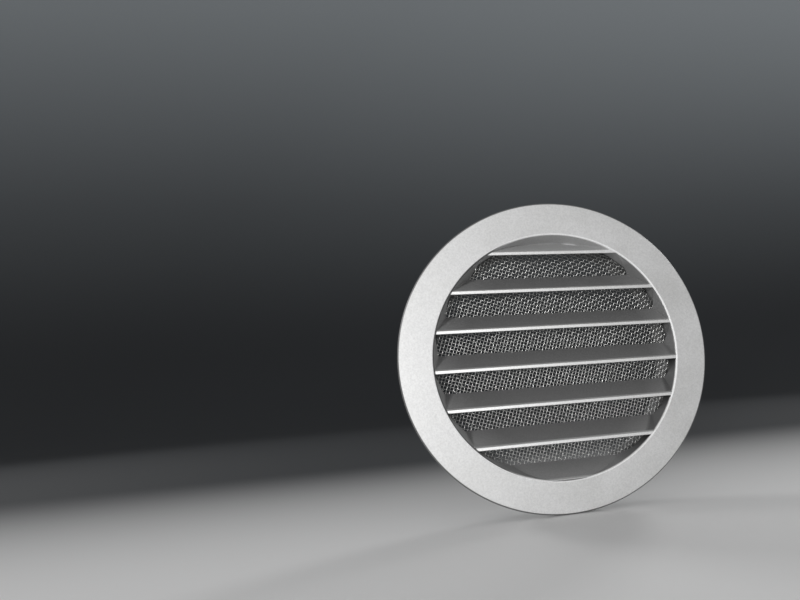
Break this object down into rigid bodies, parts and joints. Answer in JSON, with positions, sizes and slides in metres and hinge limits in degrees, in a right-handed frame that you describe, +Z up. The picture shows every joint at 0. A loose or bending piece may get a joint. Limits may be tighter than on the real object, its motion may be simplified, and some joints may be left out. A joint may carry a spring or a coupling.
{
  "type": "weather louvre",
  "caption": "Round cast aluminium weather louvre with fixed sloping blades, a woven wire mesh behind them and a collar that enters a wall duct.",
  "frame": {"origin": "centre of the plane where the ring meets the wall, on the axis of the collar", "axes": "+Y along the collar into the duct, so the ring faces -Y; +Z up, across the blades"},
  "size_m": [0.15, 0.0275, 0.15],
  "materials": {
    "cast_aluminium": "fine satin, blasted",
    "mesh_wire": "drawn wire, bright",
    "spring_wire": "drawn wire, dull"
  },
  "bodies": {
    "root": {"louvre_casting": "cast_aluminium", "wire_mesh": "mesh_wire", "mesh_retaining_ring": "spring_wire"}
  },
  "joints": []
}
